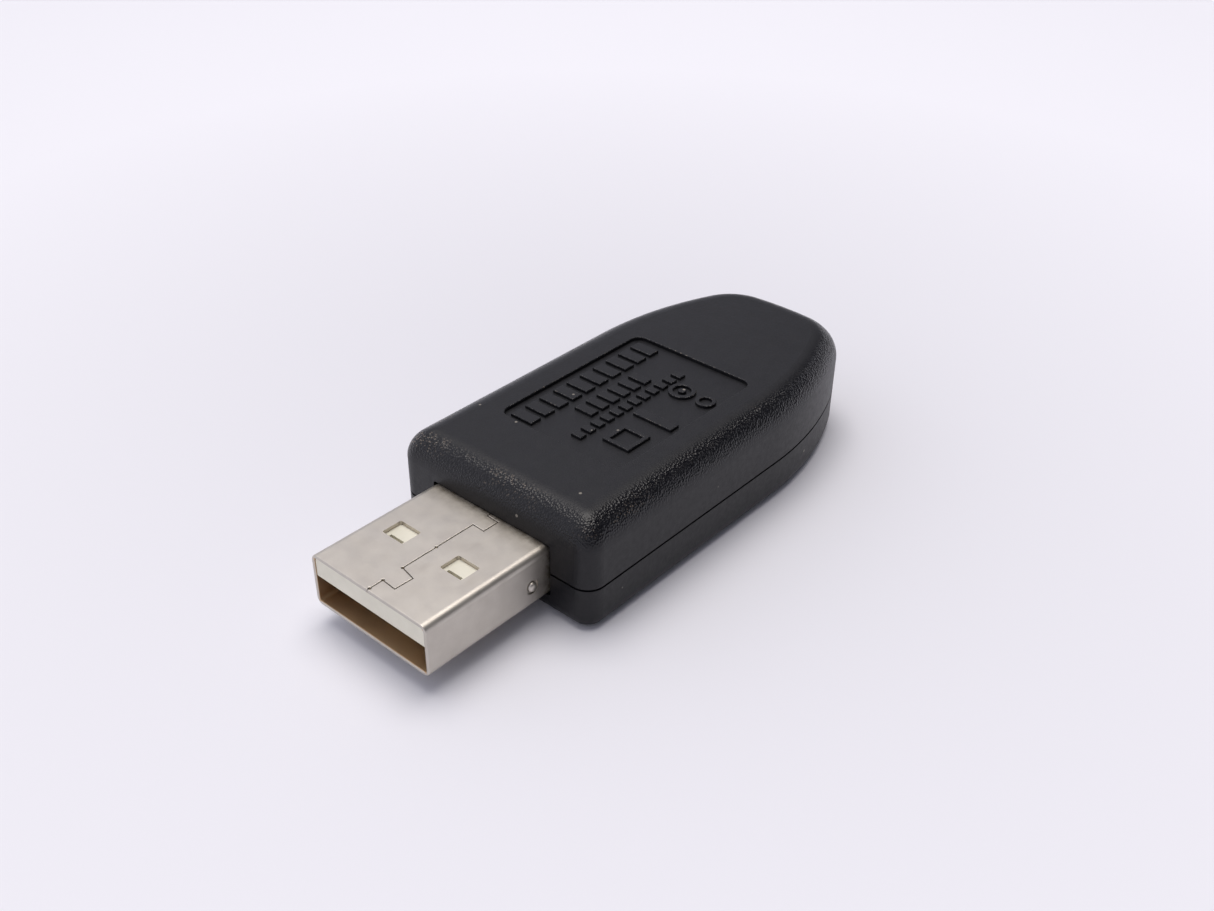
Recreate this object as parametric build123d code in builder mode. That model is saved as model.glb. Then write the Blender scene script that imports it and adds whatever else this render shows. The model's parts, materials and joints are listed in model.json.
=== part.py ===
from build123d import *
import math
import os

# USB adapter dongle: a two-shell plastic casing around a circuit board, with a USB-A plug at one
# end and a 3.5 mm jack socket in the nose. Millimetres, +Z up. The origin is the bottom centre of
# the whole object, the plug points to -Y and the nose to +Y.

# ---- casing ----
CASE_WIDTH = 19.84
CASE_LENGTH = 38.4
CASE_HEIGHT = 9.32
PARTING_Z = 3.78
PLUG_REACH = 11.75
FRONT_Y = PLUG_REACH / 2 - CASE_LENGTH / 2
MOUTH_Y = FRONT_Y - PLUG_REACH
NOSE_Y = FRONT_Y + CASE_LENGTH

FRONT_CORNER_RADIUS = 1.52
SIDE_ARC_START_Y = FRONT_Y + 22.8
SIDE_ARC_RADIUS = 29.6
SIDE_ARC_SWEEP = 24.7
NOSE_CORNER_RADIUS = 5.35
TOP_FILLET = 2.34
BOTTOM_FILLET = 1.2
SMALLEST_CORNER = 0.3
# how far a cut runs past the faces that it cuts through
CUT_OVERRUN = 0.5

WALL = 1.4
FLOOR = 1.2
CEILING = 1.2
CAVITY_FILLET = 1.0

# the dark line between the shells, and the lip that locates them inside it
PARTING_GAP = 0.18
PARTING_GAP_DEPTH = 0.45
LIP_INSET = 0.75
LIP_HEIGHT = 0.8
LIP_CLEARANCE = 0.1
# beads on the lip, as reach, length and height, and the larger pockets that they drop into
SNAP_BEAD = (0.25, 4.0, 0.3)
SNAP_POCKET_DEPTH = 0.2
SNAP_POCKET_MARGIN = (0.2, 0.1)
SNAP_Z = PARTING_Z + 0.42
SNAP_Y = (-6.5, 4.5)

# ---- ribs, posts and stops inside the shells: distance from the middle, width, low y, high y ----
RIB_TOP_Z = 8.4
BOARD_RIBS = [(7.2, 1.0, -10.5, -8.5), (7.2, 1.0, 1.5, 3.5), (4.2, 1.0, 17.5, 19.5)]
RIB_ROOT_Z = FLOOR - 0.1
BOARD_POSTS = [(7.5, 0.9, -4.5, -2.5), (7.5, 0.9, 7.0, 9.0)]
POST_WEBS = [(8.2, 1.0, -3.9, -3.1), (8.2, 1.0, 7.6, 8.4)]
POST_WEB_TOP_Z = 3.4
PLUG_CRADLES = [(-11.0, -10.2), (-8.2, -7.4)]
PLUG_CRADLE_HALF_WIDTH = 4.8

# ---- label recess on top ----
LABEL_CENTRE = (0.15, 2.16)
LABEL_SIZE = (12.1, 16.8)
LABEL_CORNER_RADIUS = 0.9
LABEL_DEPTH = 0.3
MARK_HEIGHT = 0.24
EDGE_SOFTENING = 0.08
RIM_MARGIN = 0.1
label_low_x = LABEL_CENTRE[0] - LABEL_SIZE[0] / 2 - RIM_MARGIN
label_high_x = LABEL_CENTRE[0] + LABEL_SIZE[0] / 2 + RIM_MARGIN
label_low_y = LABEL_CENTRE[1] - LABEL_SIZE[1] / 2 - RIM_MARGIN
label_high_y = LABEL_CENTRE[1] + LABEL_SIZE[1] / 2 + RIM_MARGIN
# rows of plain blocks: centre of the row, block size, pitch, count
MARK_ROWS = [
    ((-4.05, 1.98), (2.2, 1.1), 1.6, 10),
    ((-1.2, 1.95), (1.8, 0.85), 1.3, 6),
    ((0.77, 1.68), (1.0, 0.7), 1.1, 12),
    ((3.78, 1.22), (3.8, 1.0), 1.0, 1),
]
SQUARE_MARK = ((3.8, -2.3), 2.6, 1.8)
# rings: centre, outer radius, inner radius
RING_MARKS = [((2.6, 6.0), 1.15, 0.75), ((5.0, 6.0), 0.85, 0.5)]
RING_DOT_RADIUS = 0.35

# ---- USB-A plug ----
PLUG_WIDTH = 12.0
PLUG_HEIGHT = 4.5
PLUG_WALL = 0.3
PLUG_CORNER_RADIUS = 0.6
PLUG_SMALLEST_CORNER = 0.1
PLUG_Z = 3.985
PLUG_LENGTH = 18.6
PLUG_MOUTH_ROUNDING = 0.1
PLUG_OPENING_CLEARANCE = 0.08
PLUG_OPENING_CORNER_RADIUS = 0.25
WINDOW_SIZE = (2.2, 1.8)
WINDOW_CORNER_RADIUS = 0.15
WINDOW_X = 3.05
WINDOW_FROM_MOUTH = 5.9
DIMPLE_FROM_MOUTH = 10.0
DIMPLE_Z = 3.6
DIMPLE_RADIUS = 0.42
DIMPLE_HEIGHT = 0.22
DIMPLE_ROUNDING = 1.4 * DIMPLE_HEIGHT
DIMPLE_RING = (0.6, 0.12)
SEAM_X = 0.1
SEAM_WIDTH = 0.05
SEAM_EDGE_SOFTENING = 0.06
# the stretch across the plug that the whole seam lies in, and the margin kept at its ends
SEAM_RANGE_X = (-1.0, 1.8)
SEAM_END_MARGIN = 0.2
# corners of the seam, measured from the middle of the mouth, and the ones with a relief hole
SEAM_CORNERS = [
    (SEAM_X, 1.45),
    (1.42, 1.35),
    (1.5, 2.95),
    (SEAM_X, 3.25),
    (SEAM_X, 10.0),
    (1.25, 9.95),
    (1.25, 11.4),
    (SEAM_X, 11.45),
]
SEAM_RELIEFS = [(SEAM_X, 0.25), (SEAM_X, 1.45), (SEAM_X, 3.25), (SEAM_X, 6.4)]
SEAM_RELIEF_RADIUS = 0.11
TONGUE_THICKNESS = 1.6
TONGUE_SETBACK = 0.1
TONGUE_LENGTH = 9.6
TONGUE_CLEARANCE = 0.03
# slots in the tongue under the windows: half length, low and high y from the window, depth
TONGUE_SLOT_HALF_LENGTH = 0.7
TONGUE_SLOT_Y = (-0.65, -0.4)
TONGUE_SLOT_DEPTH = 0.9
CONTACT_THICKNESS = 0.25
CONTACT_TAIL_WIDTH = 0.6
CONTACT_TAIL_Y = MOUTH_Y + PLUG_LENGTH + 0.3
# across, width, distance of its front end from the mouth
CONTACTS = {
    "usb_contact_vbus": (3.5, 1.1, 1.5),
    "usb_contact_data_minus": (1.0, 0.9, 2.5),
    "usb_contact_data_plus": (-1.0, 0.9, 2.5),
    "usb_contact_ground": (-3.5, 1.1, 1.5),
}
SHIELD_LEG = (0.3, 1.5)
SHIELD_LEG_CLEARANCE = 0.1
SHIELD_SLOT = (0.8, 2.0)
SHIELD_LEG_X = PLUG_WIDTH / 2 - PLUG_WALL / 2
SHIELD_LEG_Y = -8.6
plug_stop_y = MOUTH_Y + PLUG_LENGTH + 0.05
PLUG_STOPS = [(5.3, 1.0, plug_stop_y, plug_stop_y + 1.0)]
PLUG_STOP_TOP_Z = 4.6

# ---- circuit board, hanging its components below ----
BOARD_THICKNESS = 1.0
BOARD_Z = PLUG_Z + PLUG_HEIGHT / 2
BOARD_TOP_Z = BOARD_Z + BOARD_THICKNESS
BOARD_INSET = 1.8
BOARD_FRONT_Y = FRONT_Y + WALL + 0.1
BOARD_BACK_Y = 22.4
TAIL_TOP_Z = BOARD_TOP_Z + 0.6
TAIL_HOLE_RADIUS = 0.45
SOLDER_HEIGHT = 0.35
SOLDER_CONE = (0.85, 0.55)
SOLDER_HOLE_RADIUS = 0.42
SHIELD_SOLDER = (1.4, 2.6, 0.3)
SOLDER_TAPER = 25

# ---- 3.5 mm jack socket ----
JACK_HEIGHT = 5.0
JACK_WIDTH = 6.0
JACK_Z = BOARD_Z - JACK_HEIGHT / 2
JACK_FRONT_Y = 23.2
JACK_BACK_Y = 11.2
JACK_BORE_RADIUS = 1.8
JACK_BODY_BORE_RADIUS = 2.1
JACK_CHAMFER = 0.3
BUSHING_FACE_Y = NOSE_Y - 0.25
BUSHING_BACK_Y = 21.3
BUSHING_FLANGE_RADIUS = 2.45
BUSHING_RADIUS = 2.2
BUSHING_FIT = 0.02
BUSHING_CHAMFER = 0.15
BUSHING_TAIL_WIDTH = 0.7
BUSHING_TAIL_Y = (21.5, 21.8)
BUSHING_TAIL_ROOT = 1.9
BUSHING_TAIL_CLEARANCE = 0.05
NOSE_OPENING_RADIUS = 2.6
SPRING_X = 2.4
SPRING_THICKNESS = 0.2
SPRING_HEIGHT = 1.5
# side of the bore, pivot, bump and free end along the socket
JACK_SPRINGS = {
    "jack_tip_spring": (1, 18.0, 13.0, 12.0),
    "jack_ring_spring": (-1, 20.6, 16.4, 15.4),
}
BUMP_INTO_BORE = 0.35
SPRING_BEND_RUN = 1.1
SPRING_END_INSET = 0.15
SPRING_TAIL = (0.5, 0.3)
SPRING_TAIL_SLOT = (1.2, 1.0)
SPRING_SLOT_MARGIN = 0.35
SPRING_SLOT_INNER_X = 1.0
SPRING_SLOT_ENDS = (0.4, 0.5)

side_arc_centre = (CASE_WIDTH / 2 - SIDE_ARC_RADIUS, SIDE_ARC_START_Y)
corner_reach = SIDE_ARC_RADIUS - NOSE_CORNER_RADIUS
nose_corner_centre = (
    side_arc_centre[0] + corner_reach * math.cos(math.radians(SIDE_ARC_SWEEP)),
    side_arc_centre[1] + corner_reach * math.sin(math.radians(SIDE_ARC_SWEEP)),
)
nose_gap = NOSE_Y - nose_corner_centre[1]
nose_radius = (nose_corner_centre[0] ** 2 + nose_gap**2 - NOSE_CORNER_RADIUS**2) / (
    2 * (nose_gap - NOSE_CORNER_RADIUS)
)
nose_centre = (0, NOSE_Y - nose_radius)
nose_corner_end = math.degrees(
    math.atan2(nose_corner_centre[1] - nose_centre[1], nose_corner_centre[0])
)


def casing_profile(inset):
    """Plan of the casing, straight at the plug end and rounded at the nose, moved in by inset."""
    half_width = CASE_WIDTH / 2 - inset
    front = FRONT_Y + inset
    corner = max(FRONT_CORNER_RADIUS - inset, SMALLEST_CORNER)
    with BuildSketch() as profile:
        with BuildLine():
            Line((0, front), (half_width - corner, front))
            CenterArc((half_width - corner, front + corner), corner, -90, 90)
            Line((half_width, front + corner), (half_width, SIDE_ARC_START_Y))
            CenterArc(side_arc_centre, SIDE_ARC_RADIUS - inset, 0, SIDE_ARC_SWEEP)
            CenterArc(
                nose_corner_centre,
                NOSE_CORNER_RADIUS - inset,
                SIDE_ARC_SWEEP,
                nose_corner_end - SIDE_ARC_SWEEP,
            )
            CenterArc(nose_centre, nose_radius - inset, nose_corner_end, 90 - nose_corner_end)
            mirror(about=Plane.YZ)
        make_face()
    return profile.sketch


def plug_profile(grow):
    """Rounded rectangle of the plug's cross-section, larger by grow on every side."""
    with BuildSketch() as profile:
        RectangleRounded(
            PLUG_WIDTH + 2 * grow,
            PLUG_HEIGHT + 2 * grow,
            max(PLUG_CORNER_RADIUS + grow, PLUG_SMALLEST_CORNER),
        )
    return profile.sketch


def across(y, z):
    """Plane that faces +Y at y, centred at height z, its x along -X and its y along +Z."""
    return Plane(origin=(0, y, z), x_dir=(-1, 0, 0), z_dir=(0, 1, 0))


def box(x, y, z, mode=Mode.ADD):
    """Add a block to the part being built, given as (low, high) along each axis."""
    with Locations(((x[0] + x[1]) / 2, (y[0] + y[1]) / 2, (z[0] + z[1]) / 2)):
        Box(x[1] - x[0], y[1] - y[0], z[1] - z[0], mode=mode)


def paired_boxes(plans, z, mode=Mode.ADD):
    """Add each block twice, left and right: plans give its middle x, width, low y and high y."""
    for middle_x, width, low_y, high_y in plans:
        for x in (-middle_x, middle_x):
            box((x - width / 2, x + width / 2), (low_y, high_y), z, mode=mode)


# ---- shapes shared by both shells ----
with BuildPart() as parting_groove:
    with BuildSketch(Plane.XY.offset(PARTING_Z - PARTING_GAP / 2)):
        add(casing_profile(-CUT_OVERRUN))
        add(casing_profile(PARTING_GAP_DEPTH), mode=Mode.SUBTRACT)
    extrude(amount=PARTING_GAP)

with BuildPart() as plug_opening:
    with BuildSketch(across(FRONT_Y - CUT_OVERRUN, z=PLUG_Z)):
        RectangleRounded(
            PLUG_WIDTH + 2 * PLUG_OPENING_CLEARANCE,
            PLUG_HEIGHT + 2 * PLUG_OPENING_CLEARANCE,
            PLUG_OPENING_CORNER_RADIUS,
        )
    extrude(amount=WALL + 2 * CUT_OVERRUN)

with BuildPart() as nose_opening:
    with BuildSketch(across(NOSE_Y - WALL - CUT_OVERRUN, z=JACK_Z)):
        Circle(NOSE_OPENING_RADIUS)
    extrude(amount=WALL + 2 * CUT_OVERRUN)

# ---- top shell ----
with BuildPart() as top_cavity:
    with BuildSketch(Plane.XY.offset(PARTING_Z)):
        add(casing_profile(WALL))
    extrude(amount=CASE_HEIGHT - CEILING - PARTING_Z)
    fillet(top_cavity.faces().sort_by(Axis.Z)[-1].edges(), CAVITY_FILLET)
    with BuildSketch(Plane.XY.offset(PARTING_Z)):
        add(casing_profile(LIP_INSET - LIP_CLEARANCE))
    extrude(amount=LIP_HEIGHT + LIP_CLEARANCE)

with BuildPart() as label_marks:
    with BuildSketch(Plane.XY.offset(CASE_HEIGHT - LABEL_DEPTH)):
        for centre, block_size, pitch, count in MARK_ROWS:
            with Locations(centre):
                with GridLocations(1, pitch, 1, count):
                    Rectangle(*block_size)
        square_centre, square_outer, square_inner = SQUARE_MARK
        with Locations(square_centre):
            Rectangle(square_outer, square_outer)
            Rectangle(square_inner, square_inner, mode=Mode.SUBTRACT)
        for centre, outer_radius, inner_radius in RING_MARKS:
            with Locations(centre):
                Circle(outer_radius)
                Circle(inner_radius, mode=Mode.SUBTRACT)
        with Locations(RING_MARKS[0][0]):
            Circle(RING_DOT_RADIUS)
    extrude(amount=MARK_HEIGHT)
    fillet(label_marks.edges().group_by(Axis.Z)[-1], EDGE_SOFTENING)

with BuildPart() as top_shell:
    with BuildSketch(Plane.XY.offset(PARTING_Z)):
        add(casing_profile(0))
    extrude(amount=CASE_HEIGHT - PARTING_Z)
    fillet(top_shell.faces().sort_by(Axis.Z)[-1].edges(), TOP_FILLET)
    add(top_cavity.part, mode=Mode.SUBTRACT)
    add(parting_groove.part, mode=Mode.SUBTRACT)
    add(plug_opening.part, mode=Mode.SUBTRACT)
    add(nose_opening.part, mode=Mode.SUBTRACT)
    # label recess with softened rim, and the plain raised marks on its floor
    with BuildSketch(Plane.XY.offset(CASE_HEIGHT)):
        with Locations(LABEL_CENTRE):
            RectangleRounded(*LABEL_SIZE, LABEL_CORNER_RADIUS)
    extrude(amount=-LABEL_DEPTH, mode=Mode.SUBTRACT)
    rim = (
        top_shell.edges()
        .group_by(Axis.Z)[-1]
        .filter_by_position(Axis.X, label_low_x, label_high_x)
        .filter_by_position(Axis.Y, label_low_y, label_high_y)
    )
    fillet(rim, EDGE_SOFTENING)
    add(label_marks.part)
    # ribs that hold the board down
    paired_boxes(BOARD_RIBS, (BOARD_TOP_Z, RIB_TOP_Z))
    # pockets that the snap beads drop into
    pocket_x = CASE_WIDTH / 2 - LIP_INSET + LIP_CLEARANCE + SNAP_POCKET_DEPTH / 2
    pocket_half_length = SNAP_BEAD[1] / 2 + SNAP_POCKET_MARGIN[0]
    pocket_half_height = SNAP_BEAD[2] / 2 + SNAP_POCKET_MARGIN[1]
    paired_boxes(
        [(pocket_x, SNAP_POCKET_DEPTH, y - pocket_half_length, y + pocket_half_length) for y in SNAP_Y],
        (SNAP_Z - pocket_half_height, SNAP_Z + pocket_half_height),
        mode=Mode.SUBTRACT,
    )
top_shell.part.label = "top_shell"

# ---- bottom shell ----
with BuildPart() as bottom_shell:
    with BuildSketch():
        add(casing_profile(0))
    extrude(amount=PARTING_Z)
    fillet(bottom_shell.faces().sort_by(Axis.Z)[0].edges(), BOTTOM_FILLET)
    with BuildSketch(Plane.XY.offset(PARTING_Z)):
        add(casing_profile(LIP_INSET))
    extrude(amount=LIP_HEIGHT)
    with BuildSketch(Plane.XY.offset(FLOOR)):
        add(casing_profile(WALL))
    extrude(amount=PARTING_Z + LIP_HEIGHT, mode=Mode.SUBTRACT)
    add(parting_groove.part, mode=Mode.SUBTRACT)
    # snap beads on the lip
    bead_x = CASE_WIDTH / 2 - LIP_INSET + SNAP_BEAD[0] / 2
    paired_boxes(
        [(bead_x, SNAP_BEAD[0], y - SNAP_BEAD[1] / 2, y + SNAP_BEAD[1] / 2) for y in SNAP_Y],
        (SNAP_Z - SNAP_BEAD[2] / 2, SNAP_Z + SNAP_BEAD[2] / 2),
    )
    # posts that carry the board, tied to the side wall below the parting line
    paired_boxes(BOARD_POSTS, (RIB_ROOT_Z, BOARD_Z))
    paired_boxes(POST_WEBS, (RIB_ROOT_Z, POST_WEB_TOP_Z))
    # stops behind the plug, and cradle ribs under it
    paired_boxes(PLUG_STOPS, (RIB_ROOT_Z, PLUG_STOP_TOP_Z))
    for cradle_y in PLUG_CRADLES:
        box(
            (-PLUG_CRADLE_HALF_WIDTH, PLUG_CRADLE_HALF_WIDTH),
            cradle_y,
            (RIB_ROOT_Z, PLUG_Z - PLUG_HEIGHT / 2),
        )
    add(plug_opening.part, mode=Mode.SUBTRACT)
    add(nose_opening.part, mode=Mode.SUBTRACT)
bottom_shell.part.label = "bottom_shell"

# ---- USB plug shell: folded sheet with a seam, windows and a dimple on each side ----
plug_top_z = PLUG_Z + PLUG_HEIGHT / 2
with BuildPart() as usb_plug_shell:
    with BuildSketch(across(MOUTH_Y, z=PLUG_Z)):
        add(plug_profile(0))
        add(plug_profile(-PLUG_WALL), mode=Mode.SUBTRACT)
    extrude(amount=PLUG_LENGTH)
    mouth_edges = usb_plug_shell.edges().group_by(Axis.Y)[0]
    fillet(mouth_edges, PLUG_MOUTH_ROUNDING)
    # the four latch windows
    with BuildSketch(Plane.XY):
        with Locations((0, MOUTH_Y + WINDOW_FROM_MOUTH)):
            with GridLocations(2 * WINDOW_X, 1, 2, 1):
                RectangleRounded(*WINDOW_SIZE, WINDOW_CORNER_RADIUS)
    extrude(amount=CASE_HEIGHT, mode=Mode.SUBTRACT)
    # the folded sheet's seam, with two dovetail steps and small relief holes
    seam_route = [(SEAM_X, MOUTH_Y - CUT_OVERRUN)]
    seam_route += [(x, MOUTH_Y + from_mouth) for x, from_mouth in SEAM_CORNERS]
    seam_route += [(SEAM_X, MOUTH_Y + PLUG_LENGTH + CUT_OVERRUN)]
    with BuildSketch(Plane.XY.offset(plug_top_z - PLUG_WALL - CUT_OVERRUN)):
        with BuildLine() as seam:
            Polyline(*seam_route)
        trace(seam.edges(), SEAM_WIDTH)
        with Locations(*[(x, MOUTH_Y + from_mouth) for x, from_mouth in SEAM_RELIEFS]):
            Circle(SEAM_RELIEF_RADIUS)
    extrude(amount=PLUG_WALL + 2 * CUT_OVERRUN, mode=Mode.SUBTRACT)
    seam_edges = (
        usb_plug_shell.edges()
        .group_by(Axis.Z)[-1]
        .filter_by_position(Axis.X, *SEAM_RANGE_X)
        .filter_by_position(
            Axis.Y, MOUTH_Y + SEAM_END_MARGIN, MOUTH_Y + PLUG_LENGTH - SEAM_END_MARGIN
        )
    )
    fillet(seam_edges, SEAM_EDGE_SOFTENING)
    # side dimples, each domed inside a pressed ring, and legs that go up through the board
    for side in (-1, 1):
        dimple_place = (MOUTH_Y + DIMPLE_FROM_MOUTH, DIMPLE_Z)
        with BuildSketch(Plane.YZ.offset(side * PLUG_WIDTH / 2)):
            with Locations(dimple_place):
                Circle(DIMPLE_RING[0])
        extrude(amount=-side * DIMPLE_RING[1], mode=Mode.SUBTRACT)
        with BuildSketch(Plane.YZ.offset(side * (PLUG_WIDTH / 2 - PLUG_WALL / 2))):
            with Locations(dimple_place):
                Circle(DIMPLE_RADIUS)
        extrude(amount=side * (PLUG_WALL / 2 + DIMPLE_HEIGHT))
    dimple_tops = usb_plug_shell.faces().filter_by(Axis.X).sort_by(Axis.X)
    fillet(dimple_tops[0].edges() + dimple_tops[-1].edges(), DIMPLE_ROUNDING)
    paired_boxes(
        [
            (
                SHIELD_LEG_X,
                SHIELD_LEG[0],
                SHIELD_LEG_Y - SHIELD_LEG[1] / 2,
                SHIELD_LEG_Y + SHIELD_LEG[1] / 2,
            )
        ],
        (PLUG_Z, TAIL_TOP_Z),
    )
usb_plug_shell.part.label = "usb_plug_shell"

# ---- USB contacts: strips under the tongue, bent up through the board behind the plug ----
tongue_underside = plug_top_z - PLUG_WALL - TONGUE_THICKNESS
usb_contacts = {}
for node, (contact_x, contact_width, contact_start) in CONTACTS.items():
    with BuildPart() as usb_contact:
        box(
            (contact_x - contact_width / 2, contact_x + contact_width / 2),
            (MOUTH_Y + contact_start, CONTACT_TAIL_Y + CONTACT_THICKNESS / 2),
            (tongue_underside - CONTACT_THICKNESS, tongue_underside),
        )
        box(
            (contact_x - CONTACT_TAIL_WIDTH / 2, contact_x + CONTACT_TAIL_WIDTH / 2),
            (CONTACT_TAIL_Y - CONTACT_THICKNESS / 2, CONTACT_TAIL_Y + CONTACT_THICKNESS / 2),
            (tongue_underside - CONTACT_THICKNESS, TAIL_TOP_Z),
        )
    usb_contact.part.label = node
    usb_contacts[node] = usb_contact.part

# ---- USB insulator: tongue in the upper part of the mouth, full block behind it ----
with BuildPart() as usb_insulator:
    with BuildSketch(across(MOUTH_Y + TONGUE_SETBACK, z=PLUG_Z)):
        add(plug_profile(-PLUG_WALL - TONGUE_CLEARANCE))
    extrude(amount=PLUG_LENGTH - TONGUE_SETBACK)
    box(
        (-PLUG_WIDTH / 2, PLUG_WIDTH / 2),
        (MOUTH_Y, MOUTH_Y + TONGUE_LENGTH),
        (0, tongue_underside),
        mode=Mode.SUBTRACT,
    )
    # narrow slots that show through the top windows
    window_y = MOUTH_Y + WINDOW_FROM_MOUTH
    paired_boxes(
        [(WINDOW_X, 2 * TONGUE_SLOT_HALF_LENGTH, *[window_y + y for y in TONGUE_SLOT_Y])],
        (plug_top_z - TONGUE_SLOT_DEPTH, plug_top_z),
        mode=Mode.SUBTRACT,
    )
    for contact_part in usb_contacts.values():
        add(contact_part, mode=Mode.SUBTRACT)
usb_insulator.part.label = "usb_insulator"

# ---- jack socket ----
with BuildPart() as jack_bushing:
    with BuildSketch(across(JACK_FRONT_Y, z=JACK_Z)):
        Circle(BUSHING_FLANGE_RADIUS)
    extrude(amount=BUSHING_FACE_Y - JACK_FRONT_Y)
    with BuildSketch(across(BUSHING_BACK_Y, z=JACK_Z)):
        Circle(BUSHING_RADIUS)
    extrude(amount=JACK_FRONT_Y - BUSHING_BACK_Y)
    box(
        (-BUSHING_TAIL_WIDTH / 2, BUSHING_TAIL_WIDTH / 2),
        BUSHING_TAIL_Y,
        (JACK_Z + BUSHING_TAIL_ROOT, TAIL_TOP_Z),
    )
    with BuildSketch(across(BUSHING_BACK_Y - CUT_OVERRUN, z=JACK_Z)):
        Circle(JACK_BORE_RADIUS)
    extrude(amount=BUSHING_FACE_Y - BUSHING_BACK_Y + 2 * CUT_OVERRUN, mode=Mode.SUBTRACT)
    mouth_rims = jack_bushing.faces().sort_by(Axis.Y)[-1].edges()
    chamfer(mouth_rims, BUSHING_CHAMFER)
jack_bushing.part.label = "jack_bushing"

jack_springs = {}
for node, (side, pivot_y, bump_y, end_y) in JACK_SPRINGS.items():
    bump_x = side * (JACK_BORE_RADIUS - BUMP_INTO_BORE + SPRING_THICKNESS / 2)
    with BuildPart() as jack_spring:
        with BuildSketch(Plane.XY.offset(JACK_Z - SPRING_HEIGHT / 2)):
            with BuildLine() as blade:
                Polyline(
                    (side * SPRING_X, pivot_y),
                    (side * SPRING_X, bump_y + SPRING_BEND_RUN),
                    (bump_x, bump_y),
                    (side * (SPRING_X - SPRING_END_INSET), end_y),
                )
            trace(blade.edges(), SPRING_THICKNESS)
        extrude(amount=SPRING_HEIGHT)
        box(
            (side * SPRING_X - SPRING_TAIL[0] / 2, side * SPRING_X + SPRING_TAIL[0] / 2),
            (pivot_y - SPRING_TAIL[1] / 2, pivot_y + SPRING_TAIL[1] / 2),
            (JACK_Z - SPRING_HEIGHT / 2, TAIL_TOP_Z),
        )
    jack_spring.part.label = node
    jack_springs[node] = jack_spring.part

with BuildPart() as jack_body:
    box(
        (-JACK_WIDTH / 2, JACK_WIDTH / 2),
        (JACK_BACK_Y, JACK_FRONT_Y),
        (JACK_Z - JACK_HEIGHT / 2, JACK_Z + JACK_HEIGHT / 2),
    )
    chamfer(jack_body.edges().filter_by(Axis.Y), JACK_CHAMFER)
    with BuildSketch(across(JACK_BACK_Y - CUT_OVERRUN, z=JACK_Z)):
        Circle(JACK_BODY_BORE_RADIUS)
    extrude(amount=JACK_FRONT_Y - JACK_BACK_Y + 2 * CUT_OVERRUN, mode=Mode.SUBTRACT)
    with BuildSketch(across(BUSHING_BACK_Y, z=JACK_Z)):
        Circle(BUSHING_RADIUS + BUSHING_FIT)
    extrude(amount=JACK_FRONT_Y - BUSHING_BACK_Y + CUT_OVERRUN, mode=Mode.SUBTRACT)
    tail_slot_half_width = BUSHING_TAIL_WIDTH / 2 + BUSHING_TAIL_CLEARANCE
    box(
        (-tail_slot_half_width, tail_slot_half_width),
        (BUSHING_TAIL_Y[0] - BUSHING_TAIL_CLEARANCE, BUSHING_TAIL_Y[1] + BUSHING_TAIL_CLEARANCE),
        (JACK_Z + BUSHING_TAIL_ROOT, BOARD_Z),
        mode=Mode.SUBTRACT,
    )
    # open side slots in which the spring contacts swing, and slots up to the board for their tails
    slot_half_height = SPRING_HEIGHT / 2 + SPRING_SLOT_MARGIN
    for side, pivot_y, _, end_y in JACK_SPRINGS.values():
        box(
            sorted((side * SPRING_SLOT_INNER_X, side * JACK_WIDTH / 2)),
            (end_y - SPRING_SLOT_ENDS[0], pivot_y + SPRING_SLOT_ENDS[1]),
            (JACK_Z - slot_half_height, JACK_Z + slot_half_height),
            mode=Mode.SUBTRACT,
        )
        box(
            (side * SPRING_X - SPRING_TAIL_SLOT[0] / 2, side * SPRING_X + SPRING_TAIL_SLOT[0] / 2),
            (pivot_y - SPRING_TAIL_SLOT[1] / 2, pivot_y + SPRING_TAIL_SLOT[1] / 2),
            (JACK_Z, BOARD_Z),
            mode=Mode.SUBTRACT,
        )
jack_body.part.label = "jack_body"

# ---- circuit board ----
spring_tails = [(side * SPRING_X, pivot_y) for side, pivot_y, _, _ in JACK_SPRINGS.values()]
contact_tails = [(contact_x, CONTACT_TAIL_Y) for contact_x, _, _ in CONTACTS.values()]
round_tails = contact_tails + spring_tails + [(0, sum(BUSHING_TAIL_Y) / 2)]
shield_tails = [(-SHIELD_LEG_X, SHIELD_LEG_Y), (SHIELD_LEG_X, SHIELD_LEG_Y)]
with BuildPart() as circuit_board:
    with BuildSketch(Plane.XY.offset(BOARD_Z)):
        add(casing_profile(BOARD_INSET))
        with Locations((0, (BOARD_FRONT_Y + BOARD_BACK_Y) / 2)):
            Rectangle(CASE_WIDTH, BOARD_BACK_Y - BOARD_FRONT_Y, mode=Mode.INTERSECT)
        with Locations(*round_tails):
            Circle(TAIL_HOLE_RADIUS, mode=Mode.SUBTRACT)
        with Locations(*shield_tails):
            Rectangle(*SHIELD_SLOT, mode=Mode.SUBTRACT)
    extrude(amount=BOARD_THICKNESS)
circuit_board.part.label = "circuit_board"

with BuildPart() as solder_joints:
    with Locations(*[(x, y, BOARD_TOP_Z + SOLDER_HEIGHT / 2) for x, y in round_tails]):
        Cone(*SOLDER_CONE, SOLDER_HEIGHT)
    with BuildSketch(Plane.XY.offset(BOARD_TOP_Z)):
        with Locations(*shield_tails):
            RectangleRounded(*SHIELD_SOLDER)
    extrude(amount=SOLDER_HEIGHT, taper=SOLDER_TAPER)
    with BuildSketch(Plane.XY.offset(BOARD_TOP_Z)):
        with Locations(*round_tails):
            Circle(SOLDER_HOLE_RADIUS)
        with Locations(*shield_tails):
            Rectangle(SHIELD_LEG[0] + SHIELD_LEG_CLEARANCE, SHIELD_LEG[1] + SHIELD_LEG_CLEARANCE)
    extrude(amount=SOLDER_HEIGHT, mode=Mode.SUBTRACT)
solder_joints.part.label = "solder_joints"

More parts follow.
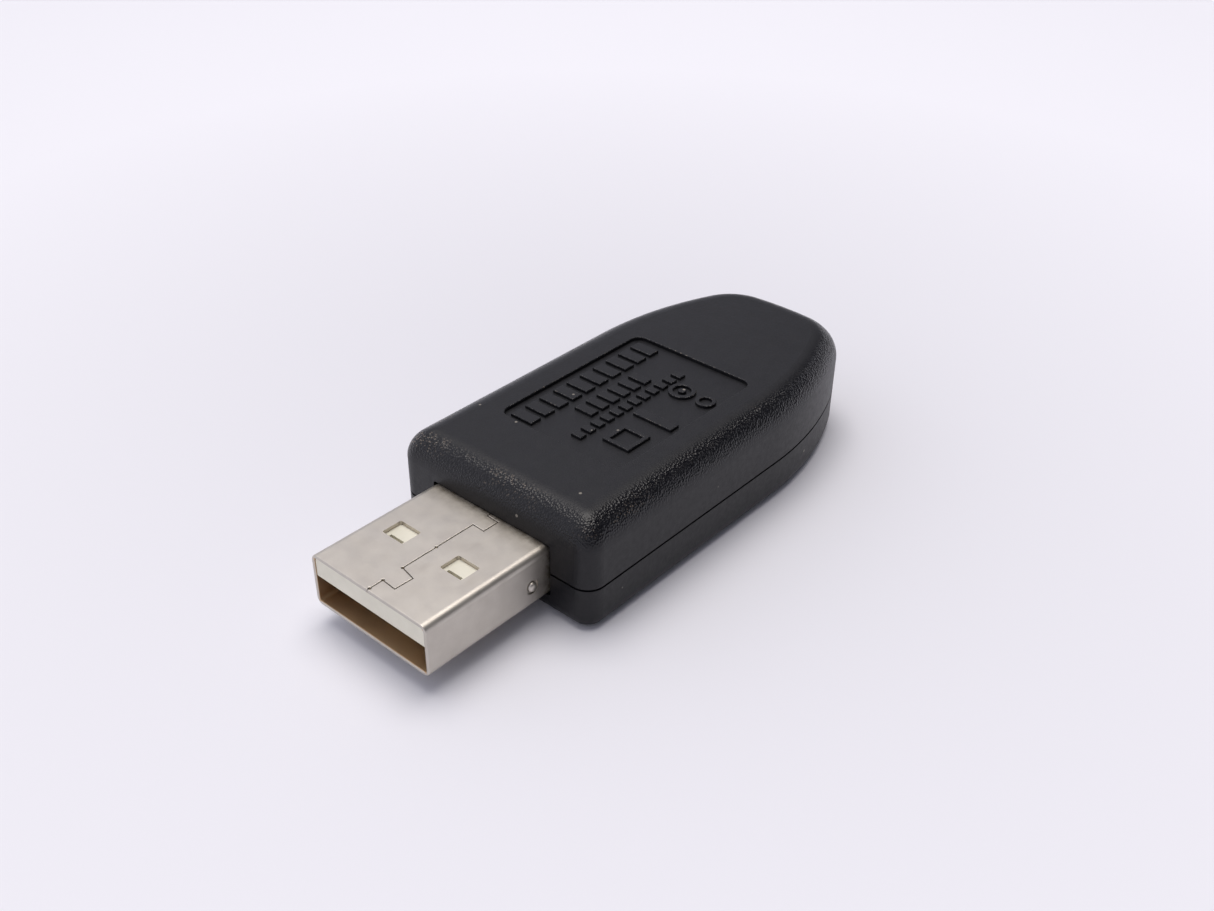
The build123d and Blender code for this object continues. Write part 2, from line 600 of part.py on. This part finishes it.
# ---- chips with gull-wing leads on their two long sides ----
# centre, body size, leads on each side, pitch, lead width
LEADED_CHIPS = {
    "usb_bridge_chip": ((0, -0.9), (7.2, 5.3, 1.5), 10, 0.65, 0.3),
    "microcontroller": ((0, 7.2), (6.5, 4.4, 1.0), 10, 0.65, 0.25),
    "voltage_regulator": ((5.4, 3.1), (2.9, 1.5, 1.0), 3, 0.95, 0.4),
    "esd_protection": ((-5.4, -3.0), (2.9, 1.5, 1.0), 3, 0.95, 0.4),
}
CHIP_STANDOFF = 0.1
CHIP_CHAMFER = 0.12
LEAD_THICKNESS = 0.15
# a lead leaves the body at this share of its height, then its three bends lie this far out
LEAD_EXIT_SHARE = 0.45
LEAD_BENDS = (0.3, 0.42, 0.85)
small_parts = {}
for node, (centre, size, count, pitch, lead_width) in LEADED_CHIPS.items():
    with BuildPart() as chip:
        with BuildSketch(Plane.XY.offset(BOARD_Z - CHIP_STANDOFF)):
            with Locations(centre):
                Rectangle(size[0], size[1])
        extrude(amount=-size[2])
        chamfer(chip.faces().sort_by(Axis.Z)[0].edges(), CHIP_CHAMFER)
    small_parts[node] = chip.part
    lead_z = BOARD_Z - CHIP_STANDOFF - size[2] * LEAD_EXIT_SHARE
    foot_z = BOARD_Z - LEAD_THICKNESS / 2
    lead_planes = [
        Plane.YZ.offset(centre[0] + (k - (count - 1) / 2) * pitch - lead_width / 2)
        for k in range(count)
    ]
    with BuildPart() as leads:
        for side in (-1, 1):
            edge_y = centre[1] + side * size[1] / 2
            with BuildSketch(*lead_planes):
                with BuildLine() as lead:
                    Polyline(
                        (edge_y, lead_z),
                        (edge_y + side * LEAD_BENDS[0], lead_z),
                        (edge_y + side * LEAD_BENDS[1], foot_z),
                        (edge_y + side * LEAD_BENDS[2], foot_z),
                    )
                trace(lead.edges(), LEAD_THICKNESS)
            extrude(amount=lead_width)
        add(chip.part, mode=Mode.SUBTRACT)
    small_parts[node + "_leads"] = leads.part

# ---- parts with a metal cap at each end, lying along X or Y ----
# centres, length along X, length along Y, height, cap length
CAPPED_PARTS = {
    "polyfuse": ([(5.4, -3.0)], (1.6, 3.2, 0.8), 0.5),
    "ferrite_bead": ([(5.4, 0.2)], (1.25, 2.0, 0.9), 0.4),
    "tantalum_capacitor": ([(5.4, 7.4)], (2.8, 3.5, 1.9), 0.5),
    "ceramic_capacitors": ([(-5.4, -0.7), (-5.4, 0.9), (5.4, 10.4)], (1.6, 0.8, 0.8), 0.3),
    "resistors": ([(-5.4, 2.5), (-5.4, 4.0), (-5.4, 11.4)], (1.6, 0.8, 0.45), 0.3),
}
for node, (centres, size, cap) in CAPPED_PARTS.items():
    length_x, length_y, height = size
    along_x = length_x > length_y
    cap_size = (cap, length_y) if along_x else (length_x, cap)
    body_size = (length_x - 2 * cap, length_y) if along_x else (length_x, length_y - 2 * cap)
    pitch_x = length_x - cap if along_x else 0
    pitch_y = 0 if along_x else length_y - cap
    with BuildPart() as capped_body:
        with BuildSketch(Plane.XY.offset(BOARD_Z)):
            with Locations(*centres):
                Rectangle(*body_size)
        extrude(amount=-height)
    small_parts[node] = capped_body.part
    with BuildPart() as caps:
        with BuildSketch(Plane.XY.offset(BOARD_Z)):
            for x, y in centres:
                with Locations((x - pitch_x / 2, y - pitch_y / 2), (x + pitch_x / 2, y + pitch_y / 2)):
                    Rectangle(*cap_size)
        extrude(amount=-height)
    small_parts[node + "_terminals"] = caps.part

# ---- quartz crystal in a low metal can ----
CRYSTAL_CENTRE = (-5.35, 7.9)
CRYSTAL_SIZE = (3.2, 5.0)
CRYSTAL_HEIGHT = 1.3
CRYSTAL_CORNER_RADIUS = 0.4
CRYSTAL_EDGE_RADIUS = 0.2
with BuildPart() as crystal_can:
    with BuildSketch(Plane.XY.offset(BOARD_Z)):
        with Locations(CRYSTAL_CENTRE):
            RectangleRounded(*CRYSTAL_SIZE, CRYSTAL_CORNER_RADIUS)
    extrude(amount=-CRYSTAL_HEIGHT)
    fillet(crystal_can.faces().sort_by(Axis.Z)[0].edges(), CRYSTAL_EDGE_RADIUS)
small_parts["crystal_can"] = crystal_can.part

for node, small_part in small_parts.items():
    small_part.label = node

os.makedirs("parts", exist_ok=True)
export_step(top_shell.part, "parts/top_shell.step")
export_step(bottom_shell.part, "parts/bottom_shell.step")
export_step(usb_plug_shell.part, "parts/usb_plug_shell.step")
export_step(usb_insulator.part, "parts/usb_insulator.step")
export_step(circuit_board.part, "parts/circuit_board.step")
export_step(solder_joints.part, "parts/solder_joints.step")
export_step(jack_body.part, "parts/jack_body.step")
export_step(jack_bushing.part, "parts/jack_bushing.step")
for group in (usb_contacts, jack_springs, small_parts):
    for node, piece in group.items():
        export_step(piece, f"parts/{node}.step")
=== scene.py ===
import json
import math

import bmesh
import bpy
from mathutils import Matrix, Vector


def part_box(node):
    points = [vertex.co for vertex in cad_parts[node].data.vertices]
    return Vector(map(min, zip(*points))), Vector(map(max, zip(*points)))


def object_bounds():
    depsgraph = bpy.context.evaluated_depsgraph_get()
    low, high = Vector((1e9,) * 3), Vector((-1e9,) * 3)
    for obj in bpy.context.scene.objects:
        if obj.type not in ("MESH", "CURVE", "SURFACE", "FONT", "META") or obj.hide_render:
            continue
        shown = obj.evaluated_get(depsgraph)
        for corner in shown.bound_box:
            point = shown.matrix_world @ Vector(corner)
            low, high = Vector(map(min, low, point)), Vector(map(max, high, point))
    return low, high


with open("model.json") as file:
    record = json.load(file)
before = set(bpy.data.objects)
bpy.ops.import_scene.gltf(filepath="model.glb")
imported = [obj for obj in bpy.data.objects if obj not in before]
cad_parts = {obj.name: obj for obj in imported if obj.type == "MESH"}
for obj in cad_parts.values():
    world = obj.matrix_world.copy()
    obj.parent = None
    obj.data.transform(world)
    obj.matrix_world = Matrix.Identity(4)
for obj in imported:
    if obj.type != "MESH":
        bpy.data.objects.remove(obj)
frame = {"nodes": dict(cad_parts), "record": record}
cad_low, cad_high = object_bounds()

# metres; noise and Voronoi scales are features per metre
MM = 0.001

# the insulator fills the folded sheet, so its box plus a margin reaches the sheet's inner faces
insulator_low, insulator_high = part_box("usb_insulator")
INSIDE_MARGIN = 0.05 * MM
CASE_FRONT_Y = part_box("top_shell")[0].y
# how far from the casing front the plug's painted shade and dirt reach
PAINTED_SHADE_AND_GRIME_REACH = 1.9 * MM

FLOOR_HALF = 3.0
FLOOR_GAP = 0.02 * MM
# where the floor's painted shade is deepest, how far it fades, and where the painted glow of the
# pale sweep starts and ends
SHADE_CENTRE = (-0.015, 0.02, 0.0)
SHADE_REACH = 0.09
SWEEP = (0.16, 0.6)
SWEEP_GLOW = 0.27

SOFTBOX_TOWARDS = (-0.1, 0.12, 0.98)
SOFTBOX_DISTANCE = 0.6
SOFTBOX_SIZE = 0.44
SOFTBOX_POWER = 2.7
SOFTBOX_COLOUR = (1.0, 0.955, 0.9)
BRIGHT_SIDE = (-0.75, -0.55, 0.36)
HORIZON_COLOUR = (0.83, 0.83, 0.89)

CAMERA_PLACE = Vector((57.12, -66.06, 63.46)) * MM
CAMERA_AZIMUTH = 40.92
CAMERA_ELEVATION = 33.93
CAMERA_ROLL = 0.69
CAMERA_LENS = 38.62
CAMERA_SENSOR = 36
CAMERA_CLIP = (0.005, 20)

# ---------------------------------------------------------------- node helpers


def new_material(name):
    """An empty node material, its tree and its Principled shader."""
    material = bpy.data.materials.new(name)
    material.use_nodes = True
    tree = material.node_tree
    return material, tree, tree.nodes["Principled BSDF"]


def add_node(tree, kind, **settings):
    """Add a node and set the properties that settings name."""
    node = tree.nodes.new(kind)
    for key, value in settings.items():
        setattr(node, key, value)
    return node


def object_coords(tree):
    return add_node(tree, "ShaderNodeTexCoord").outputs["Object"]


def separated(tree, vector):
    """The node that splits a vector into X, Y and Z."""
    node = add_node(tree, "ShaderNodeSeparateXYZ")
    tree.links.new(vector, node.inputs["Vector"])
    return node


def noise(tree, coords, scale, detail, roughness=0.55):
    """Fractal noise from 0 to 1."""
    node = add_node(tree, "ShaderNodeTexNoise")
    node.inputs["Scale"].default_value = scale
    node.inputs["Detail"].default_value = detail
    node.inputs["Roughness"].default_value = roughness
    tree.links.new(coords, node.inputs["Vector"])
    return node.outputs["Fac"]


def cells(tree, coords, scale):
    """Voronoi cells, each with a random colour and the distance from its centre."""
    node = add_node(tree, "ShaderNodeTexVoronoi")
    node.inputs["Scale"].default_value = scale
    tree.links.new(coords, node.inputs["Vector"])
    return node


def stretched(tree, coords, factors):
    """Coordinates scaled along each axis, for a pattern that runs one way."""
    node = add_node(tree, "ShaderNodeMapping")
    node.inputs["Scale"].default_value = factors
    tree.links.new(coords, node.inputs["Vector"])
    return node.outputs["Vector"]


def ramp(tree, value, stops):
    """Map a value through a colour ramp given as (position, colour or grey)."""
    node = add_node(tree, "ShaderNodeValToRGB")
    elements = node.color_ramp.elements
    while len(elements) < len(stops):
        elements.new(0.5)
    for element, (position, colour) in zip(elements, stops):
        element.position = position
        if not isinstance(colour, tuple):
            colour = (colour, colour, colour)
        element.color = (*colour, 1)
    tree.links.new(value, node.inputs["Fac"])
    return node.outputs["Color"]


def map_range(tree, value, from_min, from_max, to_max=1.0):
    """Stretch a value between two limits to the range from 0 to to_max."""
    node = add_node(tree, "ShaderNodeMapRange")
    node.inputs["From Min"].default_value = from_min
    node.inputs["From Max"].default_value = from_max
    node.inputs["To Max"].default_value = to_max
    tree.links.new(value, node.inputs["Value"])
    return node.outputs["Result"]


def maths(tree, value, operation, number=0.0):
    """One math operation on a value, with a fixed second number where it takes one."""
    node = add_node(tree, "ShaderNodeMath", operation=operation)
    node.inputs[1].default_value = number
    tree.links.new(value, node.inputs[0])
    return node.outputs[0]


def multiplied(tree, *values):
    """Product of several values that vary over the surface."""
    result = values[0]
    for value in values[1:]:
        node = add_node(tree, "ShaderNodeMath", operation="MULTIPLY")
        tree.links.new(result, node.inputs[0])
        tree.links.new(value, node.inputs[1])
        result = node.outputs[0]
    return result


def mix_colour(tree, factor, colour_a, colour_b):
    """Blend two colours by a factor that varies over the surface."""
    node = add_node(tree, "ShaderNodeMix", data_type="RGBA")
    sockets = {socket.identifier: socket for socket in node.inputs}
    tree.links.new(factor, sockets["Factor_Float"])
    for key, colour in (("A_Color", colour_a), ("B_Color", colour_b)):
        if isinstance(colour, tuple):
            sockets[key].default_value = (*colour, 1)
        else:
            tree.links.new(colour, sockets[key])
    return next(out for out in node.outputs if out.identifier == "Result_Color")


def bump(tree, height, strength, distance, onto=None):
    """Normal bent by a height, on top of another bump if one is given."""
    node = add_node(tree, "ShaderNodeBump")
    node.inputs["Strength"].default_value = strength
    node.inputs["Distance"].default_value = distance
    tree.links.new(height, node.inputs["Height"])
    if onto is not None:
        tree.links.new(onto, node.inputs["Normal"])
    return node.outputs["Normal"]


# ---------------------------------------------------------------- materials


def moulded_plastic(name, dark, light, roughness, grain_mm, grain_depth):
    """Moulded plastic with a fine grain and small changes of tone and gloss."""
    material, tree, shader = new_material(name)
    coords = object_coords(tree)
    tone = ramp(tree, noise(tree, coords, scale=700, detail=5), [(0.3, dark), (0.7, light)])
    tree.links.new(tone, shader.inputs["Base Color"])
    low, high = roughness
    shine = noise(tree, coords, scale=1500, detail=6)
    tree.links.new(ramp(tree, shine, [(0.32, low), (0.68, high)]), shader.inputs["Roughness"])
    grain = noise(tree, coords, scale=1 / (grain_mm * MM), detail=3, roughness=0.6)
    normal = bump(tree, grain, strength=0.9, distance=grain_depth * MM)
    tree.links.new(normal, shader.inputs["Normal"])
    return material


def dust_specks(tree, coords):
    """1 on a few small specks, 0 elsewhere."""
    dust = cells(tree, coords, scale=620)
    near_speck = ramp(tree, dust.outputs["Distance"], [(0.06, 1.0), (0.085, 0.0)])
    chosen = ramp(tree, dust.outputs["Color"], [(0.7, 0.0), (0.72, 1.0)])
    return multiplied(tree, near_speck, chosen)


def painted_glint_tips(tree, coords, pits, facing_up):
    """1 on grain tips that carry a painted warm glint, in uneven patches on the upper edges."""
    upper_edge = ramp(tree, facing_up, [(0.45, 0.0), (0.6, 1.0), (0.93, 1.0), (0.985, 0.0)])
    patches = ramp(tree, noise(tree, coords, scale=150, detail=3), [(0.47, 0.04), (0.64, 1.0)])
    tip_centre = ramp(tree, pits.outputs["Distance"], [(0.3, 1.0), (0.5, 0.0)])
    tip_chosen = ramp(tree, pits.outputs["Color"], [(0.58, 0.0), (0.62, 1.0)])
    return multiplied(tree, tip_centre, tip_chosen, upper_edge, patches)


def casing_plastic(name):
    """Black ABS: spark-eroded grain, deeper and glossier on the rounded edges that hands rub,
    with painted warm glints on grain tips along the upper edges, and a few specks of dust."""
    material, tree, shader = new_material(name)
    coords = object_coords(tree)
    geometry = add_node(tree, "ShaderNodeNewGeometry")
    facing_up = separated(tree, geometry.outputs["Normal"]).outputs["Z"]
    pits = cells(tree, coords, scale=6000)
    dark, light = (0.003, 0.003, 0.0045), (0.0058, 0.0058, 0.0078)
    tone = ramp(tree, noise(tree, coords, scale=900, detail=5), [(0.3, dark), (0.7, light)])
    tone = mix_colour(tree, dust_specks(tree, coords), tone, (0.22, 0.2, 0.17))
    tips = painted_glint_tips(tree, coords, pits, facing_up)
    # painted glints: warm brown base colour on grain tips of the upper rounded edges, standing in
    # for reflections of a warm light
    tone = mix_colour(tree, tips, tone, (0.15, 0.122, 0.096))
    tree.links.new(tone, shader.inputs["Base Color"])
    # 0 on flat faces, 1 where the surface is rounded over
    rounded = ramp(tree, facing_up, [(0.04, 0.0), (0.5, 1.0), (0.88, 1.0), (0.985, 0.0)])
    shine = noise(tree, coords, scale=2200, detail=6)
    flat_rough = ramp(tree, shine, [(0.3, 0.38), (0.7, 0.48)])
    rubbed_rough = ramp(tree, shine, [(0.3, 0.14), (0.7, 0.26)])
    rough = mix_colour(tree, rounded, flat_rough, rubbed_rough)
    tree.links.new(rough, shader.inputs["Roughness"])
    shader.inputs["Specular IOR Level"].default_value = 0.36
    fine_grain = noise(tree, coords, scale=6500, detail=2, roughness=0.6)
    normal = bump(tree, fine_grain, strength=0.6, distance=0.02 * MM)
    pit_height = multiplied(tree, pits.outputs["Distance"], rounded)
    normal = bump(tree, pit_height, strength=0.9, distance=0.06 * MM, onto=normal)
    tree.links.new(normal, shader.inputs["Normal"])
    return material


def plated_metal(name, dark, light, roughness):
    """Satin plated metal: fine drawn lines along Y, soft smudges and shallow dents."""
    material, tree, shader = new_material(name)
    coords = object_coords(tree)
    shader.inputs["Metallic"].default_value = 1.0
    tone = ramp(tree, noise(tree, coords, scale=600, detail=6), [(0.3, dark), (0.7, light)])
    tree.links.new(tone, shader.inputs["Base Color"])
    low, high = roughness
    smudges = noise(tree, coords, scale=800, detail=6)
    tree.links.new(ramp(tree, smudges, [(0.3, low), (0.7, high)]), shader.inputs["Roughness"])
    lines = noise(tree, stretched(tree, coords, (14.0, 0.6, 14.0)), scale=900, detail=3)
    normal = bump(tree, lines, strength=0.12, distance=0.01 * MM)
    dents = noise(tree, coords, scale=500, detail=4, roughness=0.5)
    normal = bump(tree, dents, strength=0.15, distance=0.03 * MM, onto=normal)
    tree.links.new(normal, shader.inputs["Normal"])
    return material


def inside_of_plug(tree, place):
    """1 on the inside of the folded sheet, 0 outside."""
    from_middle = maths(tree, place.outputs["X"], "ABSOLUTE")
    between_sides = maths(tree, from_middle, "LESS_THAN", insulator_high.x + INSIDE_MARGIN)
    above = maths(tree, place.outputs["Z"], "GREATER_THAN", insulator_low.z - INSIDE_MARGIN)
    below = maths(tree, place.outputs["Z"], "LESS_THAN", insulator_high.z + INSIDE_MARGIN)
    return multiplied(tree, between_sides, above, below)


def plug_sheet(name):
    """Satin nickel, darker near the casing with painted shade and some dirt; the inside of the
    sheet is painted duller and warmer as a painted reflection of the gold contacts and cream
    insulator.
    """
    material = plated_metal(name, (0.52, 0.485, 0.435), (0.58, 0.545, 0.49), (0.41, 0.49))
    tree = material.node_tree
    base_colour = tree.nodes["Principled BSDF"].inputs["Base Color"]
    tone = base_colour.links[0].from_socket
    coords = object_coords(tree)
    place = separated(tree, coords)
    # painted shade and reflection of the dark casing, with some dirt, where the sheet enters the
    # casing, and a few darker smears on it
    root = map_range(tree, place.outputs["Y"], CASE_FRONT_Y - PAINTED_SHADE_AND_GRIME_REACH, CASE_FRONT_Y)
    near_root = ramp(tree, root, [(0.0, 0.0), (0.6, 0.25), (1.0, 1.0)])
    speckle = ramp(tree, noise(tree, coords, scale=2600, detail=4), [(0.35, 0.4), (0.65, 1.0)])
    painted_shade_and_grime = multiplied(tree, near_root, speckle)
    tone = mix_colour(tree, painted_shade_and_grime, tone, (0.2, 0.165, 0.125))
    smear_coords = stretched(tree, coords, (1.0, 0.35, 1.0))
    smears = noise(tree, smear_coords, scale=420, detail=3)
    tone = mix_colour(
        tree, ramp(tree, smears, [(0.6, 0.0), (0.74, 0.5)]), tone, (0.42, 0.38, 0.33)
    )
    # painted reflection: the inside of the sheet tinted warm brown for light bounced off the gold
    # contacts and cream insulator
    tone = mix_colour(tree, inside_of_plug(tree, place), tone, (0.56, 0.4, 0.25))
    tree.links.new(tone, base_colour)
    return material


# slot: name, darker colour, lighter colour, roughness range, grain size and depth in mm
PLASTICS = {
    "cream_plastic": (
        "cream_insulator", (0.72, 0.69, 0.57), (0.78, 0.75, 0.63), (0.38, 0.5), 0.3, 0.006
    ),
    "board": (
        "solder_resist", (0.008, 0.075, 0.03), (0.012, 0.1, 0.04), (0.22, 0.32), 0.5, 0.01
    ),
    "black_moulding": (
        "socket_moulding", (0.012, 0.012, 0.013), (0.02, 0.02, 0.02), (0.4, 0.5), 0.3, 0.006
    ),
    "chip_epoxy": (
        "chip_epoxy", (0.014, 0.014, 0.016), (0.026, 0.026, 0.028), (0.5, 0.65), 0.12, 0.008
    ),
    "ceramic_tan": (
        "capacitor_ceramic", (0.34, 0.22, 0.13), (0.44, 0.3, 0.18), (0.4, 0.55), 0.2, 0.006
    ),
    "ferrite_grey": (
        "ferrite", (0.05, 0.05, 0.052), (0.085, 0.085, 0.09), (0.5, 0.65), 0.15, 0.01
    ),
    "tantalum_yellow": (
        "tantalum_case", (0.62, 0.36, 0.05), (0.72, 0.44, 0.08), (0.4, 0.5), 0.25, 0.008
    ),
    "fuse_green": (
        "fuse_polymer", (0.02, 0.1, 0.06), (0.035, 0.14, 0.08), (0.45, 0.6), 0.2, 0.008
    ),
}

# slot: name, darker colour, lighter colour, roughness range
METALS = {
    "nickel": ("satin_nickel", (0.56, 0.535, 0.505), (0.66, 0.635, 0.6), (0.24, 0.34)),
    "gold_contact": ("gold_plate", (0.75, 0.52, 0.2), (0.85, 0.62, 0.28), (0.2, 0.32)),
    "solder": ("solder", (0.6, 0.6, 0.6), (0.75, 0.75, 0.76), (0.15, 0.3)),
    "tinned_lead": ("tinned", (0.6, 0.6, 0.58), (0.72, 0.72, 0.7), (0.25, 0.4)),
    "spring_bronze": ("spring_bronze", (0.6, 0.4, 0.2), (0.72, 0.5, 0.28), (0.22, 0.34)),
}

materials = {"black_abs": casing_plastic("black_abs_grain")}
for slot, recipe in PLASTICS.items():
    materials[slot] = moulded_plastic(*recipe)
for slot, recipe in METALS.items():
    materials[slot] = plated_metal(*recipe)

slot_of = {part["node"]: part["material_slot"] for part in frame["record"]["subparts"]}
for node_name, cad_object in frame["nodes"].items():
    cad_object.data.materials.clear()
    cad_object.data.materials.append(materials[slot_of[node_name]])
frame["nodes"]["usb_plug_shell"].data.materials[0] = plug_sheet("plug_sheet_nickel")

# ---------------------------------------------------------------- stage


def pale_floor(name):
    """Matt pale floor, with painted shade a little under the object and a painted glow lifting it
    towards the horizon.
    """
    material, tree, shader = new_material(name)
    distance = add_node(tree, "ShaderNodeVectorMath", operation="DISTANCE")
    distance.inputs[1].default_value = SHADE_CENTRE
    tree.links.new(object_coords(tree), distance.inputs[0])
    spread = map_range(tree, distance.outputs["Value"], 0.0, SHADE_REACH)
    tone = ramp(tree, spread, [(0.0, (0.71, 0.71, 0.755)), (1.0, (0.85, 0.85, 0.9))])
    tree.links.new(tone, shader.inputs["Base Color"])
    # painted light: the far floor glows a little, standing in for the light on a lit studio sweep
    sweep = map_range(tree, distance.outputs["Value"], *SWEEP, to_max=SWEEP_GLOW)
    tree.links.new(sweep, shader.inputs["Emission Strength"])
    shader.inputs["Emission Color"].default_value = (0.98, 0.98, 1.0, 1)
    shader.inputs["Roughness"].default_value = 0.9
    shader.inputs["Specular IOR Level"].default_value = 0.2
    return material


floor_mesh = bpy.data.meshes.new("floor")
floor_bm = bmesh.new()
bmesh.ops.create_grid(floor_bm, x_segments=1, y_segments=1, size=FLOOR_HALF)
floor_bm.to_mesh(floor_mesh)
floor_bm.free()
floor_mesh.materials.append(pale_floor("pale_floor"))
floor = bpy.data.objects.new("floor", floor_mesh)
floor.location.z = cad_low.z - FLOOR_GAP
bpy.context.scene.collection.objects.link(floor)


def area_light(name, towards, distance, size, power, colour):
    """Square soft light seen from the object in the direction towards."""
    data = bpy.data.lights.new(name, "AREA")
    data.shape = "SQUARE"
    data.size = size
    data.energy = power
    data.color = colour
    light = bpy.data.objects.new(name, data)
    direction = Vector(towards).normalized()
    light.location = direction * distance
    light.rotation_mode = "QUATERNION"
    light.rotation_quaternion = direction.to_track_quat("Z", "Y")
    bpy.context.scene.collection.objects.link(light)


def studio_world(name):
    """Even surroundings, bright at the front left, dim at the back right, pale at the horizon."""
    world = bpy.data.worlds.new(name)
    world.use_nodes = True
    tree = world.node_tree
    sky_direction = add_node(tree, "ShaderNodeTexCoord").outputs["Generated"]
    towards_bright = add_node(tree, "ShaderNodeVectorMath", operation="DOT_PRODUCT")
    towards_bright.inputs[1].default_value = BRIGHT_SIDE
    tree.links.new(sky_direction, towards_bright.inputs[0])
    sky = ramp(
        tree,
        map_range(tree, towards_bright.outputs["Value"], -0.7, 0.95),
        [
            (0.12, (0.055, 0.055, 0.065)),
            (0.4, (0.2, 0.2, 0.235)),
            (0.5, (0.37, 0.37, 0.43)),
            (0.62, (0.48, 0.48, 0.56)),
            (1.0, (0.83, 0.83, 0.92)),
        ],
    )
    height = separated(tree, sky_direction).outputs["Z"]
    horizon = ramp(tree, height, [(0.02, 1.0), (0.3, 0.0)])
    backdrop = mix_colour(tree, horizon, sky, HORIZON_COLOUR)
    tree.links.new(backdrop, tree.nodes["Background"].inputs["Color"])
    return world


# a large soft box overhead, a little behind and to the left
area_light(
    "softbox", SOFTBOX_TOWARDS, SOFTBOX_DISTANCE, SOFTBOX_SIZE, SOFTBOX_POWER, SOFTBOX_COLOUR
)
bpy.context.scene.world = studio_world("studio")
bpy.context.scene.view_settings.view_transform = "Standard"

# ---------------------------------------------------------------- camera

camera_data = bpy.data.cameras.new("camera")
camera_data.sensor_width = CAMERA_SENSOR
camera_data.lens = CAMERA_LENS
camera_data.clip_start, camera_data.clip_end = CAMERA_CLIP
camera = bpy.data.objects.new("camera", camera_data)
camera.matrix_world = (
    Matrix.Translation(CAMERA_PLACE)
    @ Matrix.Rotation(math.radians(CAMERA_AZIMUTH), 4, "Z")
    @ Matrix.Rotation(math.radians(90 - CAMERA_ELEVATION), 4, "X")
    @ Matrix.Rotation(math.radians(CAMERA_ROLL), 4, "Z")
)
bpy.context.scene.collection.objects.link(camera)
bpy.context.scene.camera = camera
